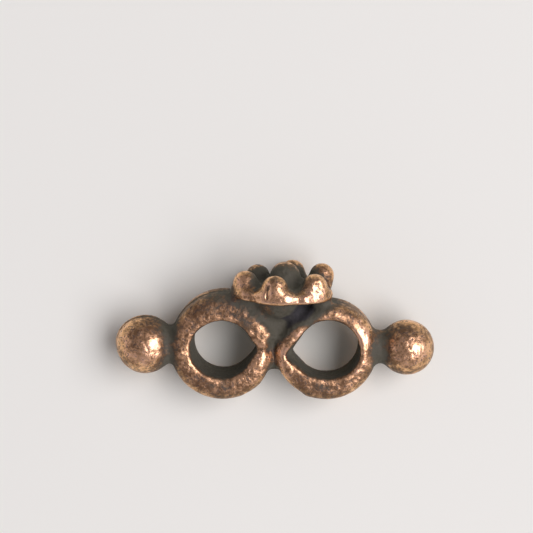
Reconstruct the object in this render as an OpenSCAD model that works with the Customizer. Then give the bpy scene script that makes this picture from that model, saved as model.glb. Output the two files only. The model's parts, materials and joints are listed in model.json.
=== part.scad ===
// Two-strand spacer bar: one metal casting with a strand loop each side of a flower.
// It is modelled along x with its back at +y and the flower at +z, then laid on its back.

/* [Loops] */
// length over both end balls
bar_length = 20; // [10:0.1:40]
// holes' centres from the middle of the bar
reach = 3.28; // [2:0.01:8]
// left strand hole across its round part
left_hole_d = 3.7; // [1:0.02:8]
// right strand hole across its round part
right_hole_d = 3.88; // [1:0.02:8]
// metal round the left hole
left_wall = 1.45; // [1.2:0.05:3]
// metal round the right hole
right_wall = 1.2; // [1.2:0.05:3]
// loops front to back
loop_depth = 3; // [1:0.1:8]
// rounding of the loops' outer edges
outer_edge_r = 0.75; // [0.1:0.05:0.75]
// rounding of the holes' edges
hole_edge_r = 0.42; // [0.1:0.02:0.44]
// underside of both loops below the bar's axis
loop_drop = 3.25; // [2:0.05:8]
// slope of the straight sides that run to each hole's point
leg_slope = 47; // [46:1:60]
// groove between the two loops
groove_w = 0.2; // [0:0.02:1]
// rounding of the groove's upright edges
groove_edge_r = 0.5; // [0.1:0.05:1]

/* [Web] */
// slope of the web's sides, which fills each hole's point
web_slope = 57.2; // [50:0.1:70]
// web's back behind the bar's axis
web_back = 0.8; // [0.2:0.05:1.5]
// web's front before the bar's axis, at the left loop
web_left_front = 1.3; // [0.2:0.05:1.5]
// web's front before the bar's axis, at the right loop
web_right_front = 0.3; // [0.2:0.05:1.5]

/* [Ends] */
// left ball
left_ball_d = 3.68; // [1:0.02:6]
// right ball
right_ball_d = 3.46; // [1:0.02:6]
// both necks
neck_d = 2.34; // [0.6:0.02:4]
// both necks from their ball's centre into the loop
neck_length = 2.6; // [2.4:0.05:2.8]
// right neck above the bar's axis
right_neck_lift = 0.14; // [0:0.02:0.16]
// hollow that joins neck and ball
neck_flare_r = 0.65; // [0.1:0.05:2]
// how deep that hollow starts inside the ball
neck_sink = 0.16; // [0.16:0.02:0.3]

/* [Flower] */
// flower's centre to the right of the middle
flower_x = 0.55; // [-3:0.05:3]
// flower's centre behind the bar's axis
flower_y = -0.2; // [-2:0.05:2]
// underside of the flower above the bar's axis
flower_z = 3.3; // [1:0.05:8]
// flower's plate between the petals
plate_d = 4.6; // [1:0.1:8]
// plate from under to upper side
plate_t = 0.62; // [0.1:0.02:2]
// petals' centres from the flower's centre
petal_reach = 2.2; // [1:0.05:5]
// petal across its foot
petal_d = 1.9; // [0.4:0.05:4]
// upright part of each foot's side
petal_rim = 0.4; // [0.2:0.02:1]
// rounding round each foot's lower edge
foot_r = 0.2; // [0.05:0.05:0.5]
// rim between the front petals, set in from their sides
rim_inset = 0.08; // [0.02:0.02:0.5]
// grain at the end of each petal
grain_d = 1.58; // [0.4:0.02:3]
// grains' centres above the flower's underside
grain_lift = 0.94; // [0.2:0.02:3]
// grain in the middle
centre_d = 2; // [0.4:0.02:3]
// middle grain's foot
centre_foot_d = 2.9; // [0.4:0.1:4]
// middle grain's centre above the flower's underside
centre_lift = 1.15; // [0.2:0.05:3]
// rounded cup under the flower
cup_d = 3.1; // [0.4:0.1:4]
// cup below the flower's underside
cup_drop = 1.35; // [0.2:0.05:2]
// cup's centre from the flower's, to the left and to the front
cup_shift = [-0.4, -0.35]; // [-1:0.05:1]

/* [Hidden] */
$fn = 96;
left_hole_r = left_hole_d / 2;
right_hole_r = right_hole_d / 2;
left_hole_z = left_hole_r + left_wall - loop_drop;
right_hole_z = right_hole_r + right_wall - loop_drop;
left_ball_r = left_ball_d / 2;
right_ball_r = right_ball_d / 2;
left_ball_x = left_ball_r - bar_length / 2;
right_ball_x = bar_length / 2 - right_ball_r;
petal_r = petal_d / 2;
grain_r = grain_d / 2;
cup_r = cup_d / 2;
// Stock that reaches past a loop on every side, and straight sides that run past the groove.
stock = 2 * reach;
leg_length = 1.1 * reach;
// The web's corners above and below the holes' points, and its step from left to right.
web_rise = 2;
web_fall = 0.9;
web_foot_z = -1.35;
web_step = [-0.95, 0.75];
copper = [0.62, 0.36, 0.22];

// Each petal's angle, how much further out it stands and how much higher its grain is.
// The second one is at the back, where the laid bar rests on it, and the last three in front.
petals = [
    [17, 0.2, 0.2],
    [77, 0, 0.08],
    [137, 0, -0.12],
    [195, 0.32, 0],
    [256, 0, 0.02],
    [321, 0.2, 0.04]
];
back = petals[1];
front_petals = [3, 4, 5];

// On its back the bar touches the floor with the loops' lower back edges and one petal's foot.
// Both are round there, so the floor is the common tangent of two small circles.
back_y = flower_y + (petal_reach + back[1]) * sin(back[0]);
back_petal_y = back_y + petal_r - foot_r;
back_petal_z = flower_z + foot_r;
loop_edge_y = loop_depth / 2 - outer_edge_r;
loop_edge_z = outer_edge_r - loop_drop;
span_y = back_petal_y - loop_edge_y;
span_z = back_petal_z - loop_edge_z;
rest_tilt = acos((outer_edge_r - foot_r) / norm([span_y, span_z])) - atan2(span_z, span_y);
floor_drop = loop_edge_y * cos(rest_tilt) - loop_edge_z * sin(rest_tilt) + outer_edge_r;
// The laid bar reaches from the loops' lower front edges to the grain at the flower's back.
high_grain_z = flower_z + grain_lift + back[2];
reach_down = loop_edge_z * cos(rest_tilt) - loop_edge_y * sin(rest_tilt) - outer_edge_r;
reach_up = high_grain_z * cos(rest_tilt) + back_y * sin(rest_tilt) + grain_r;
mid_y = (reach_down + reach_up) / 2;

function petal_place(petal) = (petal_reach + petal[1]) * [cos(petal[0]), sin(petal[0])];

// The loops' metal in section, the hole on its left, rounded at all four edges.
module band_section(wall) {
    hole_side = hole_edge_r - wall / 2;
    outer_side = wall / 2 - outer_edge_r;
    translate([hole_side, -loop_depth / 2])
        square([outer_side - hole_side, loop_depth]);
    translate([-wall / 2, hole_edge_r - loop_depth / 2])
        square([hole_edge_r, loop_depth - 2 * hole_edge_r]);
    translate([outer_side, -loop_edge_y])
        square([outer_edge_r, 2 * loop_edge_y]);
    for (y = [-1, 1]) {
        translate([hole_side, y * (loop_depth / 2 - hole_edge_r)])
            circle(hole_edge_r);
        translate([outer_side, y * loop_edge_y])
            intersection() {
                circle(outer_edge_r);
                translate([0, -outer_edge_r])
                    square([outer_edge_r, 2 * outer_edge_r]);
            }
    }
}

// One straight side of a loop, from where the round part ends to past the middle.
module leg(hole_r, wall) {
    rotate([0, 0, 90 - leg_slope])
        translate([hole_r + wall / 2, 0, 0])
            rotate([90, 0, 0])
                linear_extrude(leg_length)
                    band_section(wall);
}

// One strand loop with its hole along y, its point toward +x.
module loop(hole_r, wall) {
    intersection() {
        rotate([90, 0, 0]) {
            rotate([0, 0, 90 - leg_slope])
                rotate_extrude(angle = 180 + 2 * leg_slope)
                    translate([hole_r + wall / 2, 0])
                        band_section(wall);
            leg(hole_r, wall);
            mirror([0, 1, 0])
                leg(hole_r, wall);
        }
        loop_stock();
    }
}

// Stock that ends a loop at the groove, its two upright edges rounded.
module loop_stock() {
    end_x = reach - groove_w / 2;
    flat_y = loop_depth / 2 - groove_edge_r;
    translate([0, 0, -stock])
        linear_extrude(2 * stock) {
            translate([-stock, -stock / 2])
                square([stock + end_x - groove_edge_r, stock]);
            translate([-stock, -flat_y])
                square([stock + end_x, 2 * flat_y]);
            for (y = [-1, 1])
                translate([end_x - groove_edge_r, y * flat_y])
                    circle(groove_edge_r);
        }
}

// The web from in front: small below the crossing, tall above it, up to the flower.
module web_face() {
    left_tip = left_hole_r / sin(web_slope) - reach;
    right_tip = reach - right_hole_r / sin(web_slope);
    out = web_rise / tan(web_slope);
    low_out = web_fall / tan(web_slope);
    top_z = flower_z + plate_t / 3;
    polygon([
        [left_tip, left_hole_z],
        [left_tip - out, left_hole_z + web_rise],
        [flower_x - plate_d / 2, top_z],
        [right_tip + out, top_z],
        [right_tip + out, right_hole_z + web_rise],
        [right_tip, right_hole_z],
        [right_tip + low_out, right_hole_z - web_fall],
        [0, web_foot_z],
        [left_tip - low_out, left_hole_z - web_fall]
    ]);
}

// The set-back web between the loops, nearly flush with the left one and deep at the right.
module web() {
    intersection() {
        rotate([90, 0, 0])
            linear_extrude(stock, center = true)
                web_face();
        linear_extrude(2 * stock, center = true)
            polygon([
                [-stock, web_back],
                [stock, web_back],
                [stock, -web_right_front],
                [web_step[1], -web_right_front],
                [web_step[0], -web_left_front],
                [-stock, -web_left_front]
            ]);
    }
}

// One end ball at x with its neck, which flares out of the ball and runs toward the middle.
module ball_end(x, ball_r, neck_lift) {
    axis_r = neck_d / 2 + neck_flare_r;
    start_r = ball_r - neck_sink;
    throat = sqrt(pow(start_r + neck_flare_r, 2) - pow(axis_r, 2));
    touch_r = axis_r * start_r / (start_r + neck_flare_r);
    translate([x, 0, 0])
        sphere(ball_r);
    translate([x, 0, neck_lift])
        rotate([0, x < 0 ? 90 : -90, 0])
            rotate_extrude()
                difference() {
                    square([touch_r, neck_length]);
                    translate([axis_r, throat])
                        circle(neck_flare_r);
                }
}

// Half section of a petal: a rounded foot, a flank that narrows, a round grain.
module petal_section(lift) {
    square([petal_r - foot_r, petal_rim]);
    translate([petal_r - foot_r, foot_r])
        intersection() {
            circle(foot_r);
            translate([0, -foot_r])
                square(foot_r);
        }
    polygon([
        [0, foot_r],
        [petal_r, foot_r],
        [petal_r, petal_rim],
        [grain_r, lift],
        [0, lift]
    ]);
    translate([0, lift])
        intersection() {
            circle(grain_r);
            square(grain_r);
        }
}

// The plate's rim between two neighbouring petals.
module rim(first, second) {
    start = petal_place(first);
    way = petal_place(second) - start;
    half = petal_r - rim_inset;
    translate(start)
        rotate([0, 0, atan2(way[1], way[0])])
            translate([0, -half, 0])
                cube([norm(way), 2 * half, plate_t]);
}

// The rounded cup under the flower, flat above.
module cup() {
    translate([cup_shift[0], cup_shift[1], cup_r - cup_drop])
        rotate_extrude()
            intersection() {
                circle(cup_r);
                translate([0, -cup_r])
                    square(cup_r);
            }
}

// The flower, its underside at z = 0.
module flower() {
    cylinder(d = plate_d, h = plate_t);
    for (petal = petals)
        translate(petal_place(petal))
            rotate_extrude()
                petal_section(grain_lift + petal[2]);
    rim(petals[front_petals[0]], petals[front_petals[1]]);
    rim(petals[front_petals[1]], petals[front_petals[2]]);
    cylinder(d1 = centre_foot_d, d2 = centre_d, h = centre_lift);
    translate([0, 0, centre_lift])
        sphere(d = centre_d);
    cup();
}

// The whole casting as it stands on its loops.
module casting() {
    translate([-reach, 0, left_hole_z])
        loop(left_hole_r, left_wall);
    translate([reach, 0, right_hole_z])
        mirror([1, 0, 0])
            loop(right_hole_r, right_wall);
    web();
    ball_end(left_ball_x, left_ball_r, 0);
    ball_end(right_ball_x, right_ball_r, right_neck_lift);
    translate([flower_x, flower_y, flower_z])
        flower();
}

module spacer_bar() {
    color(copper)
        translate([0, -mid_y, floor_drop])
            rotate([rest_tilt - 90, 0, 0])
                casting();
}

spacer_bar();
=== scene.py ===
"""Looks of a cast two-strand spacer bar: a soft metal casting, copper plated and antiqued.

The casting is modelled in its own frame, in millimetres, as it stands on its loops: x runs
along the bar, y points to its back and z to the flower. It is then laid on its back, in
metres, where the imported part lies.
"""

import json
import logging
import math
from contextlib import contextmanager
from dataclasses import dataclass, field
from enum import Enum
from typing import Callable, Iterator, Sequence

import bmesh
import bpy
import numpy as np
from mathutils import Matrix, Vector
from mathutils.bvhtree import BVHTree


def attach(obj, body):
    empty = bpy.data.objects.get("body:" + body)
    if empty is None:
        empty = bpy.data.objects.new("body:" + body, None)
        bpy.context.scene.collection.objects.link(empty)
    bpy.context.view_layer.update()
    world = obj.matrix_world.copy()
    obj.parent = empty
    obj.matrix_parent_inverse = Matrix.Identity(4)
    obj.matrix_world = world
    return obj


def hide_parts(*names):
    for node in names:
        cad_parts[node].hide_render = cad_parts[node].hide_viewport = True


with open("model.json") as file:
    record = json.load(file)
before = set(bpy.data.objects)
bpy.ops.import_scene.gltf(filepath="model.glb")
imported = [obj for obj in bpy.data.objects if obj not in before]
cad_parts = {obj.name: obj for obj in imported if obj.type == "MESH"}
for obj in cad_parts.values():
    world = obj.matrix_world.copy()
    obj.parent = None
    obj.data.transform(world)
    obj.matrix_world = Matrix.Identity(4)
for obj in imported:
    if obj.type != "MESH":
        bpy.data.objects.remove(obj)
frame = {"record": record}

LOG = logging.getLogger("spacer_bar")
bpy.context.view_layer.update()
NODE = "spacer_bar"
BODY = "root"
MM = 0.001
# Where the arcs of round tips end, just short of the pole, in degrees.
TIP = 86.0
# Distance below which two points of a part are merged, and a point lies on a pole.
MERGE_GAP = 0.001


class Side(Enum):
    """The two ends of the bar, as the way from the middle."""

    LEFT = -1
    RIGHT = 1


class Trace(Enum):
    """Names of the values that the finish reads at each point of the casting."""

    HOLLOW = "hollow"
    CREST = "crest"


def choose(piece: bpy.types.Object) -> None:
    """Makes one piece the only selected and the active object.

    Args:
        piece: The piece.
    """
    bpy.ops.object.select_all(action="DESELECT")
    piece.select_set(True)
    bpy.context.view_layer.objects.active = piece


@contextmanager
def editing(piece: bpy.types.Object) -> Iterator[None]:
    """Opens a piece in edit mode with nothing selected, and closes it afterwards.

    Args:
        piece: The mesh object to edit.

    Yields:
        Nothing, while the piece is open.
    """
    choose(piece)
    bpy.ops.object.mode_set(mode="EDIT")
    bpy.ops.mesh.select_mode(type="FACE")
    bpy.ops.mesh.select_all(action="DESELECT")
    yield
    bpy.ops.object.mode_set(mode="OBJECT")


def pick_faces(piece: bpy.types.Object, test: Callable[[Vector, Vector], bool]) -> None:
    """Selects the faces of a piece in edit mode that pass a test, and no others.

    Args:
        piece: The mesh object, in edit mode.
        test: Says yes or no from a face's centre and normal.
    """
    mesh = bmesh.from_edit_mesh(piece.data)
    for face in mesh.faces:
        face.select_set(False)
    chosen = [face for face in mesh.faces if test(face.calc_center_median(), face.normal)]
    for face in chosen:
        face.select_set(True)
    bmesh.update_edit_mesh(piece.data)


def pick_points(piece: bpy.types.Object, test: Callable[[Vector], bool]) -> None:
    """Selects the points of a piece in edit mode that pass a test, and no others.

    Args:
        piece: The mesh object, in edit mode.
        test: Says yes or no from a point's place.
    """
    bpy.ops.mesh.select_mode(type="VERT")
    bpy.ops.mesh.select_all(action="DESELECT")
    mesh = bmesh.from_edit_mesh(piece.data)
    for point in mesh.verts:
        point.select_set(test(point.co))
    mesh.select_flush_mode()
    bmesh.update_edit_mesh(piece.data)


def move_points(piece: bpy.types.Object, rule: Callable[[Vector], Vector]) -> None:
    """Moves every point of a piece, as with a sculpting brush.

    Args:
        piece: The mesh object, in object mode.
        rule: Gives a point's new place from its old one.
    """
    for vertex in piece.data.vertices:
        vertex.co = rule(vertex.co.copy())
    piece.data.update()


def add_modifier(piece: bpy.types.Object, kind: str, **settings: object) -> None:
    """Adds a modifier to a piece and applies it at once.

    Args:
        piece: The mesh object.
        kind: The modifier's type.
        settings: The modifier's own settings.
    """
    choose(piece)
    modifier = piece.modifiers.new(kind.lower(), kind)
    for name, value in settings.items():
        setattr(modifier, name, value)
    bpy.ops.object.modifier_apply(modifier=modifier.name)


def fix_normals(piece: bpy.types.Object) -> None:
    """Merges doubles and turns all faces of a piece outwards.

    Args:
        piece: The mesh object.
    """
    with editing(piece):
        bpy.ops.mesh.select_all(action="SELECT")
        bpy.ops.mesh.remove_doubles(threshold=MERGE_GAP)
        bpy.ops.mesh.normals_make_consistent(inside=False)


def settle(piece: bpy.types.Object) -> None:
    """Writes a piece's mesh anew with its points and faces sorted by place.

    Some edit tools leave them in another order each run, which the tools after them would
    turn into slightly different shapes.

    Args:
        piece: The mesh object, in object mode.
    """
    mesh = piece.data
    points = [tuple(vertex.co) for vertex in mesh.vertices]
    order = sorted(range(len(points)), key=points.__getitem__)
    rank = {old: new for new, old in enumerate(order)}
    faces = []
    for polygon in mesh.polygons:
        corners = [rank[corner] for corner in polygon.vertices]
        first = corners.index(min(corners))
        faces.append(corners[first:] + corners[:first])
    mesh.clear_geometry()
    mesh.from_pydata([points[old] for old in order], [], sorted(faces))


def place(piece: bpy.types.Object, matrix: Matrix) -> None:
    """Moves a piece by a matrix and writes the move into its mesh.

    Args:
        piece: The mesh object.
        matrix: The move.
    """
    choose(piece)
    piece.matrix_world = matrix @ piece.matrix_world
    bpy.ops.object.transform_apply(location=True, rotation=True, scale=True)


def stack(rings: Sequence[tuple[float, float]], sides: int = 40) -> bpy.types.Object:
    """Models a round piece about z by extruding a disc upwards ring by ring.

    Args:
        rings: Each ring's radius and height, from the lowest up.
        sides: Corners round the piece.

    Returns:
        The closed piece, with its axis through the origin.
    """
    radius, height = rings[0]
    bpy.ops.object.select_all(action="DESELECT")
    bpy.ops.mesh.primitive_circle_add(
        vertices=sides, radius=radius, fill_type="NGON", location=(0, 0, height)
    )
    piece = bpy.context.object
    choose(piece)
    bpy.ops.object.transform_apply(location=True, rotation=True, scale=True)
    with editing(piece):
        bpy.ops.mesh.select_all(action="SELECT")
        for next_radius, next_height in rings[1:]:
            bpy.ops.mesh.extrude_region_move(
                TRANSFORM_OT_translate={"value": (0, 0, next_height - height)}
            )
            scale = next_radius / radius
            bpy.ops.transform.resize(
                value=(scale, scale, 1), center_override=(0, 0, next_height)
            )
            radius, height = next_radius, next_height
    fix_normals(piece)
    return piece


def arc(centre: tuple[float, float], radius: float, start: float, end: float,
        steps: int) -> list[tuple[float, float]]:
    """Points of an arc, as radius and height pairs for stack.

    Args:
        centre: The arc's centre.
        radius: The arc's radius.
        start: First angle in degrees, from the first axis.
        end: Last angle in degrees.
        steps: Number of points.

    Returns:
        The points, from start to end.
    """
    angles = np.radians(np.linspace(start, end, steps))
    return [(centre[0] + radius * math.cos(a), centre[1] + radius * math.sin(a)) for a in angles]


@dataclass
class Loop:
    """One strand loop: a band with rounded edges, bent to a teardrop round its hole.

    Attributes:
        side: End of the bar that the loop is at.
        reach: Hole's centre from the bar's middle.
        lift: Hole's centre above the bar's axis.
        hole_r: Radius of the hole's round part.
        wall: Metal round the hole.
        depth: Front to back.
        outer_edge: Rounding of the outer edges.
        inner_edge: Rounding of the hole's edges.
        edge_steps: Steps round an inner and an outer edge.
        crown: How much the outer side rises over the hole.
        crown_end: Where that rise stops toward the point, in hole radii.
        sag: How much the outer side sinks all round.
        droop: How much the point sinks at the front.
        cant: How far the face leans back toward the end ball.
        flare: How much the hole opens toward the end ball at the front.
        lip: How much the hole's lower lip rises at the front.
        slope: Slope of the straight sides, in degrees.
        nose: Height of the flat end above and below the point.
        nose_slope: Slope of the end's two corners, in degrees.
        steps: Steps round the hole.
    """

    side: Side
    reach: float
    lift: float
    hole_r: float
    wall: float
    depth: float = 3.0
    outer_edge: float = 0.75
    inner_edge: float = 0.2
    edge_steps: tuple[int, int] = (6, 9)
    crown: float = 0.0
    crown_end: float = 0.8
    sag: float = 0.0
    droop: float = 0.0
    cant: float = 0.0
    flare: float = 0.0
    lip: float = 0.0
    slope: float = 47.0
    nose: float = 0.7
    nose_slope: float = 30.0
    steps: int = 56

    @property
    def middle_r(self) -> float:
        """Radius of the line through the middle of the band."""
        return self.hole_r + self.wall / 2

    def section(self, angle: float) -> bpy.types.Object:
        """Adds the band's flat section across the wall, its corners rounded.

        Args:
            angle: Where it stands round the hole, from the point's direction.

        Returns:
            The section as one face.
        """
        spot = (self.middle_r * math.cos(angle), 0, self.middle_r * math.sin(angle))
        bpy.ops.object.select_all(action="DESELECT")
        bpy.ops.mesh.primitive_plane_add(size=1, location=spot, rotation=(0, -angle, 0))
        piece = bpy.context.object
        piece.scale = (self.wall, self.depth, 1)
        choose(piece)
        bpy.ops.object.transform_apply(location=True, rotation=True, scale=True)
        inner_steps, outer_steps = self.edge_steps
        slack = 0.01
        corner_r = self.hole_r + self.wall - slack
        with editing(piece):
            pick_points(piece, lambda point: point.xz.length < self.middle_r)
            bpy.ops.mesh.bevel(offset=self.inner_edge, segments=inner_steps, affect="VERTICES")
            pick_points(piece, lambda point: point.xz.length > corner_r)
            bpy.ops.mesh.bevel(offset=self.outer_edge, segments=outer_steps, affect="VERTICES")
        return piece

    def build(self) -> bpy.types.Object:
        """Spins the section round the hole and draws its ends out to the point.

        Returns:
            The loop in its place on the bar.
        """
        start = math.pi / 2 - math.radians(self.slope)
        piece = self.section(start)
        with editing(piece):
            bpy.ops.mesh.select_all(action="SELECT")
            bpy.ops.mesh.spin(
                steps=self.steps, angle=2 * math.pi - 2 * start, center=(0, 0, 0), axis=(0, 1, 0)
            )
            for turn in (1, -1):
                self.draw_leg(piece, turn, start)
        for turn in (0, 1, -1):
            settle(piece)
            with editing(piece):
                self.trim_end(piece, turn)
        move_points(piece, self.thicken)
        place(piece, Matrix.Translation((self.side.value * self.reach, 0, self.lift))
              @ Matrix.Diagonal((-self.side.value, 1, 1, 1)))
        settle(piece)
        fix_normals(piece)
        piece.name = f"loop_{self.side.name.lower()}"
        return piece

    def trim_end(self, piece: bpy.types.Object, turn: int) -> None:
        """Cuts the loop off at the bar's middle, or takes off a corner of that end.

        Args:
            piece: The band, in edit mode.
            turn: 0 for the upright end, 1 for its upper corner and -1 for its lower one.
        """
        angle = math.radians(self.nose_slope) * turn
        bpy.ops.mesh.select_all(action="SELECT")
        bpy.ops.mesh.bisect(
            plane_co=(self.reach, 0, turn * self.nose),
            plane_no=(math.cos(angle), 0, math.sin(angle)), use_fill=True, clear_outer=True,
        )

    def thicken(self, point: Vector) -> Vector:
        """Moves one point of the plain band to where the cast one has it.

        The outer side rises over the hole and sags all round. The loop's point droops toward
        the front. There the face leans back toward the end ball, and the hole's side flares
        and its lower lip rises.

        Args:
            point: The point, from the hole's centre.

        Returns:
            The moved point.
        """
        radius = point.xz.length
        forward = -point.y * 2 / self.depth
        outer_half = (radius - self.middle_r) / (self.wall / 2)
        if outer_half > 0 and point.x < self.crown_end * self.hole_r:
            rise = max(0.0, point.z / radius) ** 3
            point.z += min(1.0, outer_half) * (self.crown * rise - self.sag)
        if outer_half < 0:
            low = max(0.0, -point.z / radius)
            point.z += self.lip * low ** 2 * (1 + forward) / 2
        share = max(0.0, point.x / self.reach)
        point.z -= self.droop * share ** 2 * (1 + forward) / 2
        if forward > 0:
            aside = max(0.0, -point.x / radius)
            outer = min(1.0, max(0.0, (radius - self.hole_r) / self.wall))
            point.y += self.cant * outer * aside
            if outer_half < 0:
                point.x -= self.flare * aside * forward
        return point

    def draw_leg(self, piece: bpy.types.Object, turn: int, start: float) -> None:
        """Extrudes one end face of the band along its straight side.

        Args:
            piece: The band, in edit mode.
            turn: 1 for the upper side, -1 for the lower.
            start: Angle at which the round part ends.
        """
        end = Vector((math.cos(start), 0, turn * math.sin(start))) * self.middle_r
        along = Vector((math.sin(start), 0, -turn * math.cos(start)))
        near, parallel = 0.2, 0.99
        pick_faces(piece, lambda centre, normal: (centre - end).length < near
                   and abs(normal.dot(along)) > parallel)
        bpy.ops.mesh.extrude_region_move(
            TRANSFORM_OT_translate={"value": along * self.reach}
        )


@dataclass
class BallEnd:
    """An end ball and the neck that joins it to its loop.

    Attributes:
        side: End of the bar that the ball is at.
        ball_x: Ball's centre along the bar.
        ball_r: Ball's radius.
        neck_r: Neck's radius at its thinnest.
        flare_r: Radius of the hollow that joins neck and ball.
        neck_lift: Neck's centre above the ball's.
        core: Neck's radius inside the ball, as a share of neck_r.
        flare_end: Angle where the hollow ends toward the loop, in degrees.
        flare_steps: Steps along the hollow.
    """

    side: Side
    ball_x: float
    ball_r: float
    neck_r: float
    flare_r: float = 0.65
    neck_lift: float = 0.0
    core: float = 0.8
    flare_end: float = 146.0
    flare_steps: int = 12

    def build(self) -> bpy.types.Object:
        """Adds the ball and a neck that flares into it and into the loop.

        Returns:
            Ball and neck as one object.
        """
        bpy.ops.object.select_all(action="DESELECT")
        bpy.ops.mesh.primitive_uv_sphere_add(
            segments=64, ring_count=40, radius=self.ball_r, location=(self.ball_x, 0, 0)
        )
        ball = bpy.context.object
        axis_r = self.neck_r + self.flare_r
        throat = math.sqrt((self.ball_r + self.flare_r) ** 2 - axis_r ** 2)
        touch = 180 + math.degrees(math.atan2(throat, axis_r))
        hollow = arc((axis_r, throat), self.flare_r, touch, self.flare_end, self.flare_steps)
        neck = stack([(self.core * self.neck_r, 0), *hollow])
        toward_middle = Matrix.Rotation(-self.side.value * math.pi / 2, 4, "Y")
        place(neck, Matrix.Translation((self.ball_x, 0, self.neck_lift)) @ toward_middle)
        return join([ball, neck], f"ball_{self.side.name.lower()}")


@dataclass
class Web:
    """The set-back metal between the loops, tall above their crossing and small below it.

    Attributes:
        width: Width of the block that each half is cut from.
        stock: Depth of that block.
        overlap: How far the halves reach past their top and into each other.
        back: Place of the back.
        front: Place of the front at the bar's middle.
        front_slope: How much the front is set back for each step to the right.
        front_most: Foremost place of the front, at the left loop.
        front_least: Rearmost place of the front, at the right loop.
        left_tip: Point of the left hole, across and up.
        right_tip: Point of the right hole.
        slope: Slope of the sides, in degrees.
        top: Height of the half above the crossing.
        bottom: Foot of the half below it.
    """

    width: float = 4.6
    stock: float = 2.0
    overlap: float = 0.2
    back: float = 0.8
    front: float = -0.80
    front_slope: float = 0.72
    front_most: float = -1.36
    front_least: float = -0.3
    left_tip: tuple[float, float] = (-1.08, 0.05)
    right_tip: tuple[float, float] = (1.04, -0.26)
    slope: float = 57.2
    top: float = 3.5
    bottom: float = -1.25

    def build(self) -> bpy.types.Object:
        """Cuts both halves of the web out of flat blocks and joins them."""
        return join([self.wedge(1), self.wedge(-1)], "web")

    def wedge(self, turn: int) -> bpy.types.Object:
        """Cuts one half of the web out of a block, along the two loops' lines.

        Args:
            turn: 1 for the half above the crossing, -1 for the half below.

        Returns:
            The half, widening away from the crossing.
        """
        height = self.top if turn > 0 else -self.bottom
        bpy.ops.object.select_all(action="DESELECT")
        bpy.ops.mesh.primitive_cube_add(size=1, location=(0, 0, turn * height / 2))
        piece = bpy.context.object
        piece.scale = (self.width, self.stock, height + 2 * self.overlap)
        choose(piece)
        bpy.ops.object.transform_apply(location=True, rotation=True, scale=True)
        for tip, way in ((self.left_tip, -1), (self.right_tip, 1)):
            angle = math.radians(self.slope)
            normal = (way * math.sin(angle), 0, -turn * math.cos(angle))
            with editing(piece):
                bpy.ops.mesh.select_all(action="SELECT")
                bpy.ops.mesh.bisect(
                    plane_co=(tip[0], 0, tip[1]), plane_no=normal,
                    use_fill=True, clear_outer=True,
                )
        move_points(piece, self.press)
        return piece

    def press(self, point: Vector) -> Vector:
        """Sets a point of the block on the web's sloping front or on its back.

        Args:
            point: The point, on the standing bar.

        Returns:
            Where it goes.
        """
        front = max(self.front_most, self.front + self.front_slope * point.x)
        point.y = self.back if point.y > 0 else min(self.front_least, front)
        return point


@dataclass
class Petal:
    """One petal of the flower, a bell-shaped foot that ends in a round grain.

    Attributes:
        angle: Its direction from the flower's centre, in degrees.
        reach: Its centre from the flower's.
        flare_r: Radius of its foot.
        grain_r: Radius of its grain.
        grain_lift: Grain's centre above the flower's underside.
        lean: How far its foot lies further in than its grain.
        foot: Height of the foot's upright side.
        sole: Height of the foot's underside.
        margin: How much wider its outer side is than the grain.
        flank: Points of its flank, as shares of the way in and of the way up to the grain.
        grain_start: Angle at which the grain's arc leaves the flank, in degrees.
    """

    angle: float
    reach: float
    flare_r: float
    grain_r: float
    grain_lift: float
    lean: float = 0.0
    foot: float = 0.58
    sole: float = 0.12
    margin: float = 0.03
    flank: tuple[tuple[float, float], ...] = ((0, 0), (0.30, 0.22), (0.55, 0.5), (0.8, 0.8))
    grain_start: float = 8.0

    def build(self) -> bpy.types.Object:
        """Stacks foot, flank and grain, and sets the petal out from the flower's centre.

        Returns:
            The petal in its place on the flower.
        """
        rise = self.grain_lift - self.foot
        waist = self.flare_r - self.grain_r
        flank = [
            (self.flare_r - share * waist, self.foot + height * rise)
            for share, height in self.flank
        ]
        grain = arc((0, self.grain_lift), self.grain_r, self.grain_start, TIP, steps=15)
        piece = stack([(self.flare_r, self.sole), *flank, *grain])
        move_points(piece, self.trim)
        out = Matrix.Rotation(math.radians(self.angle), 4, "Z")
        place(piece, out @ Matrix.Translation((self.reach, 0, 0)))
        return piece

    def trim(self, point: Vector) -> Vector:
        """Keeps the flare of the petal's flank off its outer side.

        Args:
            point: The point, from the petal's centre.

        Returns:
            Where it goes.
        """
        if point.x > 0:
            across = math.hypot(point.x, point.y)
            point.x *= min(1.0, (self.grain_r + self.margin) / across)
            point.x -= self.lean * max(0.0, 1 - point.z / self.grain_lift)
        return point


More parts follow.
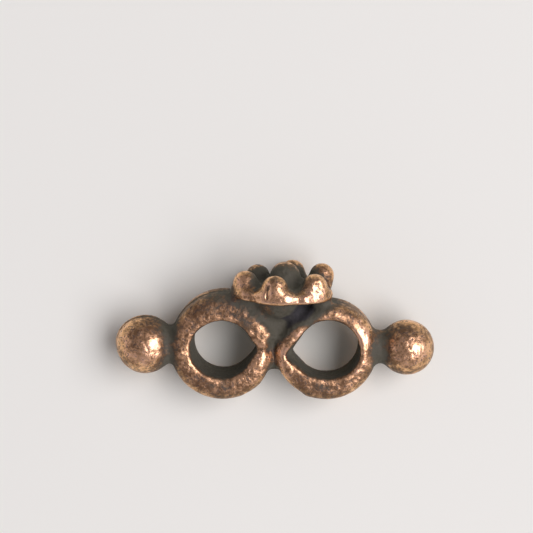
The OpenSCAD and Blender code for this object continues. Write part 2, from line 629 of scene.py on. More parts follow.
@dataclass
class Flower:
    """The flower on the bar's edge: plate, petals, centre grain and the cup beneath.

    Attributes:
        centre: Middle of the flower's underside, on the standing bar.
        plate_t: Thickness of the plate.
        edge_r: Rounding of the plate's edges.
        petal_reach: Petals' centres from the flower's.
        grain_r: Radius of the petals' grains.
        grain_lift: Their centres above the underside.
        centre_r: Radius of the centre grain.
        centre_lift: Its centre above the underside.
        centre_foot: Radius, as a share of the grain's, and height of each step of its foot.
        centre_start: Angle at which the grain's arc leaves that foot, in degrees.
        cup_r: Radius of the cup.
        cup_drop: How far the cup reaches below the underside.
        cup_top: Height inside the plate where the cup ends.
        cup_shift: Cup's centre from the flower's.
        petals: A row for each petal, with the columns named there.
        outline: The plate's reach in each direction.
    """

    centre: tuple[float, float, float] = (0.55, -0.2, 3.3)
    plate_t: float = 0.6
    edge_r: float = 0.2
    petal_reach: float = 2.2
    grain_r: float = 0.79
    grain_lift: float = 0.94
    centre_r: float = 1.0
    centre_lift: float = 1.15
    centre_foot: tuple[tuple[float, float], ...] = ((1.5, 0.4), (1.45, 0.6), (1.15, 0.85))
    centre_start: float = -8.0
    cup_r: float = 1.55
    cup_drop: float = 1.36
    cup_top: float = 0.3
    cup_shift: tuple[float, float, float] = (-0.4, -0.35, 0.0)
    # Each petal's angle, how much further out it stands, how much higher its grain is, how far
    # its foot lies further in and the radius of that foot.
    petals: tuple[tuple[float, float, float, float, float], ...] = (
        (17, 0.2, 0.2, 0.5, 1.35),
        (77, 0.02, 0.08, 0.1, 1.12),
        (137, 0.15, -0.12, 0.1, 1.25),
        (195, 0.32, 0.0, 0.0, 1.5),
        (253, 0.0, 0.02, 0.0, 1.5),
        (320, 0.15, 0.04, 0.0, 1.5),
    )
    # The direction in degrees and the plate's reach there.
    outline: tuple[tuple[float, float], ...] = (
        (17, 2.55), (47, 2.35), (77, 2.9), (107, 2.0), (137, 2.95), (166, 2.6), (195, 3.0),
        (225, 2.85), (256, 2.9), (288, 2.7), (321, 3.0), (349, 2.6), (377, 2.55),
    )

    def build(self) -> bpy.types.Object:
        """Builds plate, petals, centre grain and cup, and joins them on the bar's edge.

        Returns:
            The flower as one object, on the standing bar.
        """
        foot = [(share * self.centre_r, height) for share, height in self.centre_foot]
        knob = arc((0, self.centre_lift), self.centre_r, self.centre_start, TIP, steps=16)
        grain = stack(foot + knob)
        bowl = arc((0, self.cup_r - self.cup_drop), self.cup_r, -TIP, 0, steps=16)
        cup = stack(bowl + [(self.cup_r, self.cup_top)])
        place(cup, Matrix.Translation(self.cup_shift))
        petals = [
            Petal(angle, self.petal_reach + further, foot_r, self.grain_r,
                  self.grain_lift + higher, lean).build()
            for angle, further, higher, lean, foot_r in self.petals
        ]
        flower = join([self.plate(), grain, cup, *petals], "flower")
        place(flower, Matrix.Translation(self.centre))
        return flower

    def plate(self) -> bpy.types.Object:
        """Stacks a round plate and pulls its rim out to the flower's outline.

        Returns:
            The plate, its underside at height 0.
        """
        edge, thick = self.edge_r, self.plate_t
        lower = arc((1 - edge, edge), edge, -90, 0, steps=5)
        upper = arc((1 - edge, thick - edge), edge, 0, 90, steps=5)
        plate = stack(lower + upper, sides=96)
        move_points(plate, self.spread_rim)
        return plate

    def spread_rim(self, point: Vector) -> Vector:
        """Moves a point of the plate of radius 1 out to the flower's outline.

        Args:
            point: The point, from the flower's centre.

        Returns:
            Where it goes.
        """
        angle = math.degrees(math.atan2(point.y, point.x)) % 360
        angle += 360 if angle < self.outline[0][0] else 0
        reach = 1.0
        for (start, low), (end, high) in zip(self.outline, self.outline[1:]):
            if start <= angle <= end:
                turn = math.pi * (angle - start) / (end - start)
                reach = low + (high - low) * (1 - math.cos(turn)) / 2
        radius = point.xy.length
        if radius > MERGE_GAP:
            point.xy *= (radius + reach - 1) / radius
        return point


@dataclass(frozen=True)
class Facet:
    """A soft flat place, rubbed onto a knob of the casting.

    Attributes:
        centre: A point of the flat, on the standing bar.
        normal: The way it faces.
        radius: Where it fades out.
        share: How much of what stands proud is pressed in.
    """

    centre: tuple[float, float, float]
    normal: tuple[float, float, float]
    radius: float
    share: float

    def press(self, point: Vector) -> Vector:
        """Presses a point of the casting toward the facet's plane where it stands proud.

        Args:
            point: The point, on the standing bar.

        Returns:
            Where it goes.
        """
        away = point - Vector(self.centre)
        out = Vector(self.normal).normalized()
        height = max(0.0, away.dot(out))
        fade = max(0.0, 1 - ((away - height * out).length / self.radius) ** 2)
        return point - out * height * self.share * fade


@dataclass(frozen=True)
class Groove:
    """A soft valley pressed into the bar's front and back along a straight line.

    Attributes:
        start: One end of the line, across and up.
        end: Its other end.
        width: Half the valley's width.
        depth: How deep it is.
        back: Whether the back has it too.
    """

    start: tuple[float, float]
    end: tuple[float, float]
    width: float
    depth: float
    back: bool = True

    def press(self, point: Vector) -> Vector:
        """Presses a point of the casting in, by how near it is to the line.

        Args:
            point: The point, on the standing bar.

        Returns:
            Where it goes.
        """
        core, skin, farthest = 0.3, 0.5, 2.5
        first, last, here = Vector(self.start), Vector(self.end), Vector((point.x, point.z))
        along = last - first
        share = min(1.0, max(0.0, (here - first).dot(along) / along.length_squared))
        away = (here - first - share * along).length / self.width
        if away > farthest or (point.y > 0 and not self.back):
            return point
        outward = min(1.0, max(0.0, (abs(point.y) - core) / skin))
        point.y -= math.copysign(self.depth * outward * math.exp(-away * away), point.y)
        return point


def join(pieces: Sequence[bpy.types.Object], name: str) -> bpy.types.Object:
    """Joins pieces into the first of them.

    Args:
        pieces: Mesh objects, each with its own mesh.
        name: The joined object's name.

    Returns:
        The joined object.
    """
    bpy.ops.object.select_all(action="DESELECT")
    for piece in pieces:
        piece.select_set(True)
    bpy.context.view_layer.objects.active = pieces[0]
    bpy.ops.object.join()
    pieces[0].name = name
    pieces[0].data.name = name
    return pieces[0]


@dataclass(frozen=True)
class Lie:
    """How the bar lies: turned onto its back and dropped to the floor.

    Attributes:
        tilt: How far the holes lean from upright, in radians.
        origin: Where the standing bar's origin comes to lie, in metres.
    """

    tilt: float
    origin: tuple[float, float, float]

    @classmethod
    def from_mount(cls, mount: dict, hole: Vector) -> "Lie":
        """Reads the lie from a strand hole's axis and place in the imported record.

        Args:
            mount: The hole's mount.
            hole: The hole's centre on the standing bar, in millimetres.

        Returns:
            The lie that takes the standing bar's hole to the mount.
        """
        tilt = math.atan2(-mount["axis"][1], mount["axis"][2])
        turn = Matrix.Rotation(tilt - math.pi / 2, 3, "X")
        origin = Vector(mount["pos_m"]) - turn @ hole * MM
        return cls(tilt, tuple(origin))

    @property
    def matrix(self) -> Matrix:
        """Takes the standing bar in millimetres to the laid one in metres."""
        return (Matrix.Translation(self.origin)
                @ Matrix.Rotation(self.tilt - math.pi / 2, 4, "X") @ Matrix.Scale(MM, 4))


@dataclass(frozen=True)
class StainAndPaintedLight:
    """A darker or brighter patch of the finish: kept or rubbed-off antiquing, painted shade, a
    painted dark reflection, a painted highlight.

    Attributes:
        centre: Its middle, on the standing bar.
        radius: How far it reaches before it has mostly faded.
        strength: What it adds to the hollow value, below 0 where the metal was rubbed and where a
            highlight is painted.
    """

    centre: tuple[float, float, float]
    radius: float
    strength: float

    def on(self, places: np.ndarray) -> np.ndarray:
        """How much the patch adds to each point's hollow value."""
        away = np.linalg.norm(places - np.array(self.centre), axis=1) / self.radius
        return self.strength * np.exp(-away ** 2)


@dataclass
class Casting:
    """The whole bar as it comes out of the mould, one skin over all its features.

    Attributes:
        flower_z: Height above which the skin is the flower's.
        voxel: Size of a cell of the remeshed skin.
        fillet: How far the skin is swelled and drawn in again, which fills its inner corners.
        ease: How far one round of smoothing moves a point to its neighbours' mean.
        swell_rounds: Rounds of smoothing before each of those two moves.
        last_rounds: Rounds of smoothing at the end.
        wobble: Depth and size of the slow unevenness.
        peel: Depth and size of the fine peel.
        flower_blend: Rounds of smoothing of the flower.
        crossing_blend: Rounds of smoothing where the loops meet.
        crossing_r: Radius of that place.
        crossing_y: How far in front of the bar's middle it begins.
        seam: Height of the parting line's step.
        seam_front: Its width to the front.
        seam_back: Its width to the back.
        seam_end: Where it has faded out, along the bar.
        seam_fade: The length over which it fades.
        seam_shy: How fast it ends where the skin is hollow.
        seam_least: Its share below which a point is left alone.
        dark_patina_and_shade: How hollow the dark line at its foot counts, a line of antiquing and
            painted shade under the step.
        seam_shade_gap: That line's distance from the middle, in widths of the front.
        near_hollow: How much the cover counts as hollow, evened a little, and the rounds.
        wide_hollow: The same for the cover evened over a wide reach.
        loops: The strand loops.
        ends: The necks and their balls.
        grooves: Soft valleys in the skin.
        facets: Flats rubbed onto it.
        stains_and_painted_light: Where the finish is darker or brighter, from kept or rubbed-off
            antiquing and from painted shade, painted dark reflections and painted highlights.
    """

    flower_z: float = 3.5
    voxel: float = 0.076
    fillet: float = 0.24
    ease: float = 0.5
    swell_rounds: int = 2
    last_rounds: int = 3
    wobble: tuple[float, float] = (0.05, 1.9)
    peel: tuple[float, float] = (0.018, 0.3)
    flower_blend: int = 14
    crossing_blend: int = 30
    crossing_r: float = 1.5
    crossing_y: float = -0.5
    seam: float = 0.06
    seam_front: float = 0.06
    seam_back: float = 0.5
    seam_end: float = 6.5
    seam_fade: float = 7.0
    seam_shy: float = 2.5
    seam_least: float = 0.01
    dark_patina_and_shade: float = 0.4
    seam_shade_gap: float = 1.5
    near_hollow: tuple[float, int] = (0.6, 3)
    wide_hollow: tuple[float, int] = (0.5, 60)
    loops: tuple[Loop, ...] = field(default_factory=lambda: (
        Loop(Side.LEFT, 3.28, 0.05, 1.85, 1.45, crown=0.2, sag=0.04, flare=0.2),
        Loop(
            Side.RIGHT, 3.28, 0.0, 2.0, 1.11, inner_edge=0.26, sag=0.13, droop=0.5,
            cant=0.32, lip=0.3, nose=0.45,
        ),
    ))
    ends: tuple[BallEnd, ...] = field(default_factory=lambda: (
        BallEnd(Side.LEFT, -8.16, 1.84, 1.17),
        BallEnd(Side.RIGHT, 8.27, 1.73, 1.04, 0.55, neck_lift=0.02),
    ))
    grooves: tuple[Groove, ...] = (
        Groove((-0.1, -1.6), (-0.1, 0.5), 0.48, 0.36),
        Groove((-0.1, -1.6), (-0.1, 0.5), 0.16, 0.12),
        Groove((-0.85, 0.08), (-0.4, 0.0), 0.18, 0.07, back=False),
        Groove((-0.56, 3.8), (-0.50, 4.5), 0.11, 0.14, back=False),
    )
    facets: tuple[Facet, ...] = (
        Facet((2.42, -2.34, 4.05), (0.31, -0.93, 0.21), 0.9, 0.5),
    )
    # Darker and brighter patches of the finish. Some are antiquing kept or rubbed off; many are
    # painted light: painted shade, painted dark reflections and painted highlights.
    stains_and_painted_light: tuple[StainAndPaintedLight, ...] = (
        # Painted shade in the deep recess under the flower.
        StainAndPaintedLight((1.5, -1.4, 2.35), 0.85, 0.9),
        StainAndPaintedLight((0.6, -1.2, 1.8), 0.5, 0.6),
        StainAndPaintedLight((1.55, -1.7, 1.35), 0.6, -0.5),
        StainAndPaintedLight((0.0, -2.0, 2.6), 0.55, 0.36),
        # Painted highlight on the lower right petal and the crescent under the flower.
        StainAndPaintedLight((2.35, -2.5, 4.0), 0.55, -0.45),
        StainAndPaintedLight((1.0, -2.9, 3.6), 0.5, -0.3),
        StainAndPaintedLight((-1.5, -1.35, 2.4), 0.8, -0.15),
        # Painted dark reflections on the petals' tops, and a painted bright reflection on the left
        # petal's lower flank.
        StainAndPaintedLight((-1.5, -1.2, 4.9), 0.6, 0.16),
        StainAndPaintedLight((-2.3, -1.6, 4.0), 0.5, -0.18),
        StainAndPaintedLight((-0.1, -2.8, 5.0), 0.45, 0.26),
        StainAndPaintedLight((2.5, -2.3, 5.0), 0.4, 0.24),
        StainAndPaintedLight((2.6, 0.6, 5.0), 0.6, 0.12),
        # Darker top of the left loop, patina and painted shade.
        StainAndPaintedLight((-4.0, -0.9, 3.35), 1.1, 0.27),
        # Painted shade on the left ball's top.
        StainAndPaintedLight((-8.2, -0.8, 1.6), 0.9, 0.10),
        StainAndPaintedLight((7.4, -1.2, 0.2), 0.55, -0.2),
        StainAndPaintedLight((6.25, -0.9, 0.0), 0.8, 0.48),
        StainAndPaintedLight((9.3, -1.2, 0.0), 0.8, -0.2),
        StainAndPaintedLight((8.3, -0.9, 1.6), 0.7, 0.16),
        StainAndPaintedLight((8.3, -0.9, -1.6), 0.7, 0.16),
        StainAndPaintedLight((0.1, -1.1, -0.2), 0.6, -0.5),
        StainAndPaintedLight((-6.3, -0.8, 0.8), 1.0, 0.14),
        StainAndPaintedLight((-6.3, -0.8, -0.8), 1.0, 0.14),
        # Painted reflections on the left ball: a brighter middle and a dark spot beside it.
        StainAndPaintedLight((-8.6, -1.6, 0.0), 1.1, -0.14),
        StainAndPaintedLight((-8.75, -1.75, 0.2), 0.45, 0.28),
        StainAndPaintedLight((-0.55, -2.6, 4.2), 0.22, 0.25),
        # Painted shade on the left loop's lower band.
        StainAndPaintedLight((-3.3, -1.2, -2.6), 1.6, 0.17),
        StainAndPaintedLight((-1.9, -1.3, 1.8), 0.7, 0.24),
        # Painted shade on the right loop's lower band and upper inner lip, dimming their highlights.
        StainAndPaintedLight((2.9, -1.3, -2.2), 1.4, 0.17),
        StainAndPaintedLight((4.2, -1.4, 2.1), 0.8, 0.14),
        # Painted dark reflections on the upper left petal and the centre grain.
        StainAndPaintedLight((-1.1, 0.8, 4.7), 0.9, 0.32),
        StainAndPaintedLight((0.55, -0.9, 4.9), 0.9, 0.40),
        StainAndPaintedLight((-0.25, -1.2, 0.8), 0.35, 0.3),
        StainAndPaintedLight((0.6, 0.2, 5.5), 0.4, -0.10),
        StainAndPaintedLight((1.0, 1.3, 4.8), 0.7, 0.26),
        StainAndPaintedLight((1.1, 2.3, 5.0), 0.6, -0.12),
        # Painted highlight on the right loop's outer band and lower lip.
        StainAndPaintedLight((5.6, -1.4, 0.9), 0.8, -0.40),
        StainAndPaintedLight((6.0, -1.3, -0.5), 0.45, -0.2),
    )

    def build(self) -> bpy.types.Object:
        """Models every feature, melts them into one skin and gives it its relief.

        Returns:
            The casting, standing, in millimetres.
        """
        parts = [loop.build() for loop in self.loops]
        parts += [end.build() for end in self.ends]
        parts += [Web().build(), Flower().build()]
        casting = join(parts, "casting")
        settle(casting)
        self.melt(casting)
        self.roughen(casting)
        self.trace(casting)
        self.raise_seam(casting)
        return casting

    def melt(self, casting: bpy.types.Object) -> None:
        """Fuses the parts and fills their inner corners, as metal does in a mould.

        Args:
            casting: The joined parts, which becomes one closed skin.
        """
        self.renew(casting)
        for grow in (self.fillet, -self.fillet):
            add_modifier(casting, "SMOOTH", factor=self.ease, iterations=self.swell_rounds)
            add_modifier(casting, "DISPLACE", strength=grow, mid_level=0)
            self.renew(casting)
        self.soften(casting, lambda here: here.z > self.flower_z, self.flower_blend)
        self.soften(
            casting, lambda here: here.y < self.crossing_y and here.xz.length < self.crossing_r,
            self.crossing_blend,
        )
        for mark in self.grooves + self.facets:
            move_points(casting, mark.press)
        self.renew(casting)
        add_modifier(casting, "SMOOTH", factor=self.ease, iterations=self.last_rounds)

    def renew(self, casting: bpy.types.Object) -> None:
        """Makes the skin anew, closed and of even cells."""
        add_modifier(casting, "REMESH", mode="VOXEL", voxel_size=self.voxel)

    def soften(self, casting: bpy.types.Object, inside: Callable[[Vector], bool],
               times: int) -> None:
        """Smooths one region of the skin.

        Args:
            casting: The closed skin.
            inside: Says of a point whether it lies in the region.
            times: How often each point moves to its neighbours' mean.
        """
        region = casting.vertex_groups.new(name="region")
        chosen = [vertex.index for vertex in casting.data.vertices if inside(vertex.co)]
        region.add(chosen, 1.0, "REPLACE")
        add_modifier(
            casting, "SMOOTH", factor=self.ease, iterations=times, vertex_group=region.name
        )
        casting.vertex_groups.clear()

    def roughen(self, casting: bpy.types.Object) -> None:
        """Gives the skin a slow unevenness and a fine peel.

        Args:
            casting: The closed skin.
        """
        for name, (depth, size), detail in (("wobble", self.wobble, 1), ("peel", self.peel, 2)):
            texture = bpy.data.textures.new(name, "CLOUDS")
            texture.noise_scale = size
            texture.noise_depth = detail
            add_modifier(
                casting, "DISPLACE", texture=texture, texture_coords="LOCAL",
                strength=depth, mid_level=0.5,
            )

    def trace(self, casting: bpy.types.Object) -> None:
        """Writes how hollow and how sharp the skin is at each point, for the finish, with painted
        shade and highlights in the hollow value.

        Args:
            casting: The roughened skin.
        """
        mesh = casting.data
        places = read_rows(mesh.vertices, "co", 3)
        normals = read_rows(mesh.vertices, "normal", 3)
        edges = read_rows(mesh.edges, "vertices", 2, int)
        cover = covered(mesh, places, normals)
        (near, near_rounds), (wide, wide_rounds) = self.near_hollow, self.wide_hollow
        # How much of its sky each point's cover hides darkens it, as patina in the hollows and as
        # painted shade there.
        hollow = near * spread(cover, edges, near_rounds) + wide * spread(cover, edges, wide_rounds)
        # Adds the darker and brighter patches, kept antiquing and painted light, to the hollow value.
        hollow += sum(patch.on(places) for patch in self.stains_and_painted_light)
        # Darkens a line along the foot of the seam's step on the outer sides: antiquing there and
        # painted shade under the step.
        low = places[:, 2] < self.flower_z
        clear = np.clip((self.seam_end - places[:, 0]) / self.seam_fade, 0, 1)
        outside = np.clip(1 - 2 * np.abs(normals[:, 1]), 0, 1) * low * clear
        foot = (places[:, 1] + self.seam_shade_gap * self.seam_front) / self.seam_front
        hollow += self.dark_patina_and_shade * outside * np.exp(-foot ** 2)
        bend = crest(places, normals, edges)
        for trace, values in ((Trace.HOLLOW, hollow), (Trace.CREST, bend)):
            attribute = mesh.attributes.new(trace.value, "FLOAT", "POINT")
            attribute.data.foreach_set("value", values.astype(np.float32))

    def raise_seam(self, casting: bpy.types.Object) -> None:
        """Raises a step round the outside of the bar, where the mould's halves met.

        Args:
            casting: The traced skin.
        """
        hollow = casting.data.attributes[Trace.HOLLOW.value].data
        group = casting.vertex_groups.new(name="seam")
        for vertex, cover in zip(casting.data.vertices, hollow):
            width = self.seam_front if vertex.co.y < 0 else self.seam_back
            across = math.exp(-(vertex.co.y / width) ** 2)
            bare = max(0.0, 1 - cover.value * self.seam_shy)
            outside = max(0.0, 1 - abs(vertex.normal.y) * 2) * bare
            outside *= min(1.0, max(0.0, (self.seam_end - vertex.co.x) / self.seam_fade))
            if across * outside > self.seam_least:
                group.add([vertex.index], across * outside, "REPLACE")
        add_modifier(
            casting, "DISPLACE", strength=self.seam, mid_level=0, vertex_group=group.name
        )


def read_rows(items: bpy.types.bpy_prop_collection, name: str, width: int,
              kind: type = float) -> np.ndarray:
    """Reads one property of all points or edges of a mesh.

    Args:
        items: The points or edges.
        name: The property.
        width: How many numbers each of them has.
        kind: The numbers' type.

    Returns:
        One row for each of them.
    """
    values = np.empty(len(items) * width, dtype=kind)
    items.foreach_get(name, values)
    return values.reshape(-1, width)


def covered(mesh: bpy.types.Mesh, places: np.ndarray, normals: np.ndarray,
            rays: int = 14, far: float = 5.0, lift: float = 0.03) -> np.ndarray:
    """Works out how much of the sky over each point the piece itself covers.

    Args:
        mesh: The piece's mesh.
        places: Its points.
        normals: Their normals.
        rays: Looks taken from each point.
        far: How far each look goes.
        lift: How far above the skin it starts.

    Returns:
        0 for an open point, up to 1 for a buried one.
    """
    faces = [tuple(polygon.vertices) for polygon in mesh.polygons]
    tree = BVHTree.FromPolygons([Vector(point) for point in places], faces)
    turns = math.pi * (3 - math.sqrt(5)) * np.arange(rays)
    heights = 1 - (np.arange(rays) + 0.5) / rays
    spread_out = np.sqrt(1 - heights)
    looks = np.stack([spread_out * np.cos(turns), spread_out * np.sin(turns), np.sqrt(heights)], 1)
    result = np.zeros(len(places))
    for index, (point, normal) in enumerate(zip(places, normals)):
        side = np.cross(normal, (0, 1, 0) if abs(normal[1]) < 0.9 else (1, 0, 0))
        side /= np.linalg.norm(side)
        basis = np.stack([side, np.cross(normal, side), normal])
        start = Vector(point + normal * lift)
        for look in looks @ basis:
            distance = tree.ray_cast(start, Vector(look), far)[3]
            if distance is not None:
                result[index] += 1 - (distance / far) ** 2
    return result / rays


def spread(values: np.ndarray, edges: np.ndarray, times: int) -> np.ndarray:
    """Evens values out over a mesh's edges.

    Args:
        values: One value, or one row, for each point.
        edges: The mesh's edges.
        times: How often each point takes its neighbours' mean.

    Returns:
        The evened values.
    """
    result = values.astype(float)
    count = np.bincount(edges.ravel(), minlength=len(values))
    count = count if result.ndim == 1 else count[:, None]
    for _ in range(times):
        total = np.zeros_like(result)
        np.add.at(total, edges[:, 0], result[edges[:, 1]])
        np.add.at(total, edges[:, 1], result[edges[:, 0]])
        result = 0.5 * result + 0.5 * total / np.maximum(count, 1)
    return result


def crest(places: np.ndarray, normals: np.ndarray, edges: np.ndarray, rounds: int = 8,
          span: float = 0.06) -> np.ndarray:
    """Works out where the skin is bent outwards, from how far evening it pulls it in.

    Args:
        places: The skin's points.
        normals: Their normals.
        edges: The mesh's edges.
        rounds: Rounds of evening.
        span: The pull from the sharpest crease to the sharpest ridge.

    Returns:
        0.5 where the skin is flat, more on ridges and knobs, less in creases.
    """
    evened = spread(places, edges, rounds)
    pull = np.einsum("ij,ij->i", places - evened, normals)
    return np.clip(0.5 + pull / span, 0, 1)


@dataclass(frozen=True)
class Signal:
    """A socket's value in a shader. Arithmetic on it adds Math nodes.

    Attributes:
        shader: The node tree it belongs to.
        socket: The output that carries it.
    """

    shader: "Shader"
    socket: bpy.types.NodeSocket

    def __add__(self, other: "Signal | float") -> "Signal":
        """This value plus another."""
        return self.shader.math("ADD", self, other)

    __radd__ = __add__

    def __sub__(self, other: "Signal | float") -> "Signal":
        """This value less another."""
        return self.shader.math("SUBTRACT", self, other)

    def __rsub__(self, other: float) -> "Signal":
        """A number less this value."""
        return self.shader.math("SUBTRACT", other, self)

    def __mul__(self, other: "Signal | float") -> "Signal":
        """This value times another."""
        return self.shader.math("MULTIPLY", self, other)

    __rmul__ = __mul__

    def held(self) -> "Signal":
        """This value kept between 0 and 1."""
        return self.shader.math("ADD", self, 0.0, use_clamp=True)

    def ramp(self, low: float, high: float) -> "Signal":
        """Turns this value into a smooth step.

        Args:
            low: Where the step begins.
            high: Where it ends.

        Returns:
            0 up to low, 1 from high on.
        """
        settings = {"interpolation_type": "SMOOTHSTEP"}
        inputs = {"Value": self, "From Min": low, "From Max": high}
        return self.shader.add("ShaderNodeMapRange", settings, inputs, "Result")


class Shader:
    """A node tree of a material or a world, with one method that adds any node."""

    def __init__(self, owner: bpy.types.Material | bpy.types.World, output: str) -> None:
        """Empties the owner's tree down to its output.

        Args:
            owner: The material or world.
            output: The type of its output node.
        """
        self.owner = owner
        owner.use_nodes = True
        self.tree = owner.node_tree
        self.tree.nodes.clear()
        self.output = self.tree.nodes.new(output)

    @classmethod
    def of_material(cls, name: str) -> "Shader":
        """Starts a new material."""
        return cls(bpy.data.materials.new(name), "ShaderNodeOutputMaterial")

    @classmethod
    def of_world(cls, name: str) -> "Shader":
        """Starts a new world and makes it the scene's."""
        bpy.context.scene.world = bpy.data.worlds.new(name)
        return cls(bpy.context.scene.world, "ShaderNodeOutputWorld")

    def add(self, kind: str, settings: dict, inputs: dict, result: str | int = 0) -> Signal:
        """Adds a node, sets it up and feeds its sockets.

        Args:
            kind: The node's type.
            settings: The node's own settings, which are set first.
            inputs: Values or signals, by socket name or number.
            result: Name or number of the output that is wanted.

        Returns:
            The output as a signal.
        """
        node = self.tree.nodes.new(kind)
        for name, value in settings.items():
            setattr(node, name, value)
        for name, value in inputs.items():
            if isinstance(value, Signal):
                self.tree.links.new(value.socket, node.inputs[name])
            else:
                node.inputs[name].default_value = value
        return Signal(self, node.outputs[result])

    def math(self, operation: str, first: Signal | float, second: Signal | float,
             **settings: object) -> Signal:
        """Adds a Math node on two values."""
        return self.add("ShaderNodeMath", {"operation": operation, **settings}, {0: first, 1: second})

    def mix(self, share: Signal | float, first: Signal | tuple, second: Signal | tuple) -> Signal:
        """Mixes two colours, as a Math node would turn them grey.

        Args:
            share: How much of the second colour shows.
            first: The colour at 0.
            second: The colour at 1.

        Returns:
            The mixed colour.
        """
        inputs = {0: share, 6: first, 7: second}
        return self.add("ShaderNodeMix", {"data_type": "RGBA"}, inputs, 2)

    def noise(self, where: Signal, size: float, detail: float = 2, rough: float = 0.5) -> Signal:
        """Noise whose patches are about size metres across."""
        inputs = {"Vector": where, "Scale": 1 / size, "Detail": detail, "Roughness": rough}
        return self.add("ShaderNodeTexNoise", {}, inputs, "Fac")

    def trace(self, trace: Trace) -> Signal:
        """A value that was written at the piece's points."""
        settings = {"attribute_type": "GEOMETRY", "attribute_name": trace.value}
        return self.add("ShaderNodeAttribute", settings, {}, "Fac")

    def place(self) -> Signal:
        """The point's own place, in metres."""
        return self.add("ShaderNodeTexCoord", {}, {}, "Object")

    def finish(self, surface: Signal) -> bpy.types.Material | bpy.types.World:
        """Connects the surface to the output and hands the owner over."""
        self.tree.links.new(surface.socket, self.output.inputs["Surface"])
        return self.owner


@dataclass(frozen=True)
class AntiqueCopper:
    """Copper plate, darkened all over and rubbed bright again on its high places.

    Attributes:
        rubbed: Copper where it is rubbed most.
        bright: Copper on the high places.
        brown: Copper darkened between them.
        dark_patina_and_shade: Dark patina in the hollows, also the colour of the painted shade there.
        black: Colour of the pits, and of the deepest hollows, where it is partly patina and partly
            painted shade.
        flat: Crest value of a plain surface.
        cloud: Size of the finish's slow changes, in metres.
        mottle: Size of its blotches.
        dimple: Size of the skin's dimples.
        grain: Size of its grain.
        depth: Depth of the dimples and grain.
    """

    rubbed: tuple[float, float, float, float] = (0.935, 0.566, 0.315, 1)
    bright: tuple[float, float, float, float] = (0.90, 0.530, 0.252, 1)
    brown: tuple[float, float, float, float] = (0.262, 0.149, 0.069, 1)
    dark_patina_and_shade: tuple[float, float, float, float] = (0.086, 0.080, 0.044, 1)
    black: tuple[float, float, float, float] = (0.034, 0.032, 0.026, 1)
    flat: float = 0.56
    cloud: float = 0.0018
    mottle: float = 0.00038
    dimple: float = 0.00042
    grain: float = 0.00018
    depth: float = 0.00008

    def material(self) -> bpy.types.Material:
        """Builds the finish from where the casting is hollow, sharp and pitted.

        The numbers in its sums say how much each value counts, and the ramps' two numbers
        where a layer begins and where it is whole. The hollow value also carries painted shade,
        painted dark reflections and painted highlights, and so do the masks made from it.

        Returns:
            The material.
        """
        shader = Shader.of_material("antique copper")
        where = shader.place()
        hollow = shader.trace(Trace.HOLLOW)
        ridge = shader.trace(Trace.CREST) - self.flat
        cloud = shader.noise(where, self.cloud, 2) - 0.5
        mottle = shader.noise(where, self.mottle, 3, 0.65) - 0.5
        dimples = shader.noise(where, self.dimple, 1, 0.4) - 0.5
        grain = shader.noise(where, self.grain, 2) - 0.5
        polished = ridge.ramp(0.05, 0.12)
        # Rubbed brightness, also raised by painted highlights and lowered by painted shade through
        # the hollow value.
        wear_and_painted_light = ridge * 1.6 - hollow * 1.8 + mottle * 1.75 + grain * 1.5 + cloud * 1.2 + 0.5
        shine = wear_and_painted_light.ramp(0.08, 0.86)
        pits = (grain - cloud * 0.2 + hollow * 0.25 - ridge * 0.5).ramp(0.02, 0.14)
        # Dark patina in the hollows, together with the painted shade that the hollow value carries.
        patina_and_shade_mask = (hollow * 2.6 - mottle * 1.1 - ridge * 1.2).ramp(0.25, 0.95)
        colour = shader.mix(shine, self.brown, self.bright)
        colour = shader.mix(wear_and_painted_light.ramp(0.5, 1.2), colour, self.rubbed)
        colour = shader.mix(pits * 0.75, colour, self.black)
        patina_and_shade_colour = shader.mix(hollow.ramp(0.72, 1.1), self.dark_patina_and_shade, self.black)
        colour = shader.mix(patina_and_shade_mask, colour, patina_and_shade_colour)
        rough = 0.46 - shine * 0.15 + pits * 0.15 + patina_and_shade_mask * 0.2
        relief = (dimples * 1.3 + grain * 0.35 - pits * 0.12) * (1 - polished * 0.35)
        inputs = {"Strength": 1.0, "Distance": self.depth, "Height": relief}
        bump = shader.add("ShaderNodeBump", {}, inputs, "Normal")
        metal = 1 - (patina_and_shade_mask * 0.7 + pits * 0.3).held()
        return shader.finish(shader.add("ShaderNodeBsdfPrincipled", {}, {
            "Base Color": colour, "Metallic": metal, "Roughness": rough, "Normal": bump,
        }, "BSDF"))

    def dress(self, piece: bpy.types.Object) -> None:
        """Puts the finish on a piece, as its only material, and shades it smooth.

        Args:
            piece: The piece.
        """
        piece.data.materials.clear()
        piece.data.materials.append(self.material())
        choose(piece)
        bpy.ops.object.shade_smooth()


@dataclass(frozen=True)
class Paper:
    """The plain pale sheet that the bar lies on.

    Attributes:
        shade: Its colour.
        rough: Its roughness.
        size: Its side, in metres.
    """

    shade: tuple[float, float, float, float] = (0.90, 0.925, 0.71, 1)
    rough: float = 0.9
    size: float = 1.2

    def lay(self) -> None:
        """Adds the sheet at floor level, with its own material."""
        bpy.ops.object.select_all(action="DESELECT")
        bpy.ops.mesh.primitive_plane_add(size=self.size, location=(0, 0, 0))
        sheet = bpy.context.object
        sheet.name = "paper"
        shader = Shader.of_material("pale paper")
        inputs = {"Base Color": self.shade, "Roughness": self.rough}
        surface = shader.add("ShaderNodeBsdfPrincipled", {}, inputs, "BSDF")
        sheet.data.materials.append(shader.finish(surface))


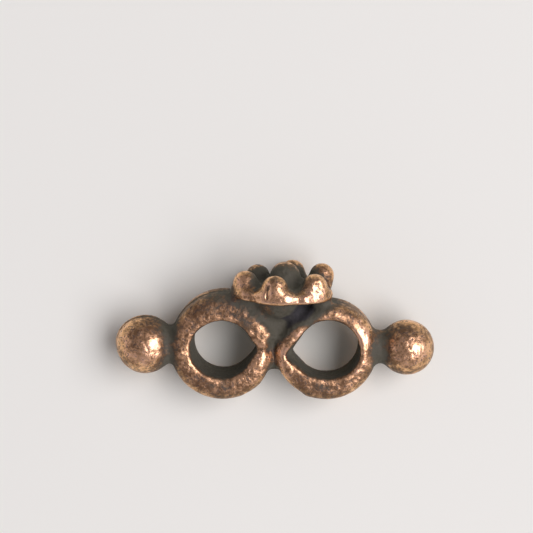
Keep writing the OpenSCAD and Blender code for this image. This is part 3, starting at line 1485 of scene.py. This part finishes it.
@dataclass(frozen=True)
class Window:
    """A soft oblong light that faces the bar.

    Attributes:
        bearing: Its direction round the bar, in degrees from x.
        height: Its direction above the paper, in degrees.
        distance: How far away it is, in metres.
        width: Its side up and down, in metres.
        length: Its side along the paper, in metres.
        power: Its power in watts.
        colour: Its colour.
    """

    bearing: float = -4.0
    height: float = 55.0
    distance: float = 0.7
    width: float = 0.44
    length: float = 0.84
    power: float = 4.85
    colour: tuple[float, float, float] = (1.0, 0.94, 1.18)

    def hang(self) -> None:
        """Adds the light in its place, turned to the bar, its length along the paper."""
        bearing, height = math.radians(self.bearing), math.radians(self.height)
        toward = Vector((
            math.cos(height) * math.cos(bearing), math.cos(height) * math.sin(bearing),
            math.sin(height),
        ))
        bpy.ops.object.light_add(type="AREA", location=toward * self.distance)
        lamp = bpy.context.object
        lamp.name = "window"
        lamp.rotation_euler = toward.to_track_quat("Z", "Y").to_euler()
        lamp.data.shape = "RECTANGLE"
        lamp.data.energy = self.power
        lamp.data.size = self.length
        lamp.data.size_y = self.width
        lamp.data.color = self.colour


@dataclass(frozen=True)
class Room:
    """What the bar mirrors: pale walls, brighter aside, dimmer at the back, dark overhead.

    Attributes:
        near: The wall in front.
        far: The wall at the back.
        aside: The walls to the left and right.
        overhead: The ceiling.
        back_span: The direction's y where the front ends and where the back is whole.
        aside_span: The square of its x where the side walls begin and are whole.
        rise_span: Its z where the ceiling begins and is whole.
    """

    near: tuple[float, float, float, float] = (0.42, 0.397, 0.53, 1)
    far: tuple[float, float, float, float] = (0.20, 0.19, 0.26, 1)
    aside: tuple[float, float, float, float] = (0.57, 0.535, 0.71, 1)
    overhead: tuple[float, float, float, float] = (0.20, 0.188, 0.238, 1)
    back_span: tuple[float, float] = (-0.2, 0.8)
    aside_span: tuple[float, float] = (0.3, 0.9)
    rise_span: tuple[float, float] = (0.35, 0.85)

    def build(self) -> None:
        """Shades the world by direction."""
        shader = Shader.of_world("room")
        direction = shader.add("ShaderNodeTexCoord", {}, {}, "Generated")
        side, back, rise = (
            shader.add("ShaderNodeSeparateXYZ", {}, {0: direction}, axis) for axis in "XYZ"
        )
        walls = shader.mix(back.ramp(*self.back_span), self.near, self.far)
        walls = shader.mix((side * side).ramp(*self.aside_span), walls, self.aside)
        shade = shader.mix(rise.ramp(*self.rise_span), walls, self.overhead)
        shader.finish(shader.add("ShaderNodeBackground", {}, {"Color": shade}))


@dataclass(frozen=True)
class Viewpoint:
    """The camera, straight above the paper, with the bar where the photograph has it.

    Attributes:
        frame_px: Width of the photograph.
        bar_px: Where the middle of the bar's axis is in it.
        px_mm: Millimetres to a pixel at the paper's height.
        focal_px: The lens's length in pixels.
        turn: How far the camera is turned, in degrees.
        clip_start: Nearest distance that it sees, in metres.
    """

    frame_px: float = 533.0
    bar_px: tuple[float, float] = (275.25, 345.5)
    px_mm: float = 0.063
    focal_px: float = 1459.0
    turn: float = 0.7
    clip_start: float = 0.005

    def set_up(self, axis: Vector) -> None:
        """Adds the camera over the bar's own axis.

        Args:
            axis: A point of the bar's axis at the middle of its length, in metres.
        """
        half = self.frame_px / 2
        aside = Vector((self.bar_px[0] - half, half - self.bar_px[1], 0)) * self.px_mm * MM
        turn = Matrix.Rotation(math.radians(self.turn), 3, "Z")
        above = Vector((0, 0, self.focal_px * self.px_mm * MM))
        bpy.ops.object.camera_add(
            location=axis + above - turn @ aside, rotation=(0, 0, math.radians(self.turn))
        )
        camera = bpy.context.object
        camera.data.sensor_fit = "HORIZONTAL"
        camera.data.lens = camera.data.sensor_width * self.focal_px / self.frame_px
        camera.data.clip_start = self.clip_start
        bpy.context.scene.camera = camera


def main() -> None:
    """Builds the casting, dresses it, lays it down and lights it."""
    logging.basicConfig(level=logging.INFO, format="%(name)s: %(message)s")
    casting = Casting()
    piece = casting.build()
    LOG.info("casting: %d faces", len(piece.data.polygons))
    left = casting.loops[0]
    mount = frame["record"]["mounts"][0]
    lie = Lie.from_mount(mount, Vector((-left.reach, 0, left.lift)))
    place(piece, lie.matrix)
    AntiqueCopper().dress(piece)
    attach(piece, BODY)
    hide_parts(NODE)
    Paper().lay()
    Window().hang()
    Room().build()
    Viewpoint().set_up(Vector(lie.origin))
    bpy.context.scene.view_settings.view_transform = "Standard"
    LOG.info("tilt %.1f degrees, origin %s", math.degrees(lie.tilt), lie.origin)


if __name__ == "__main__":
    main()
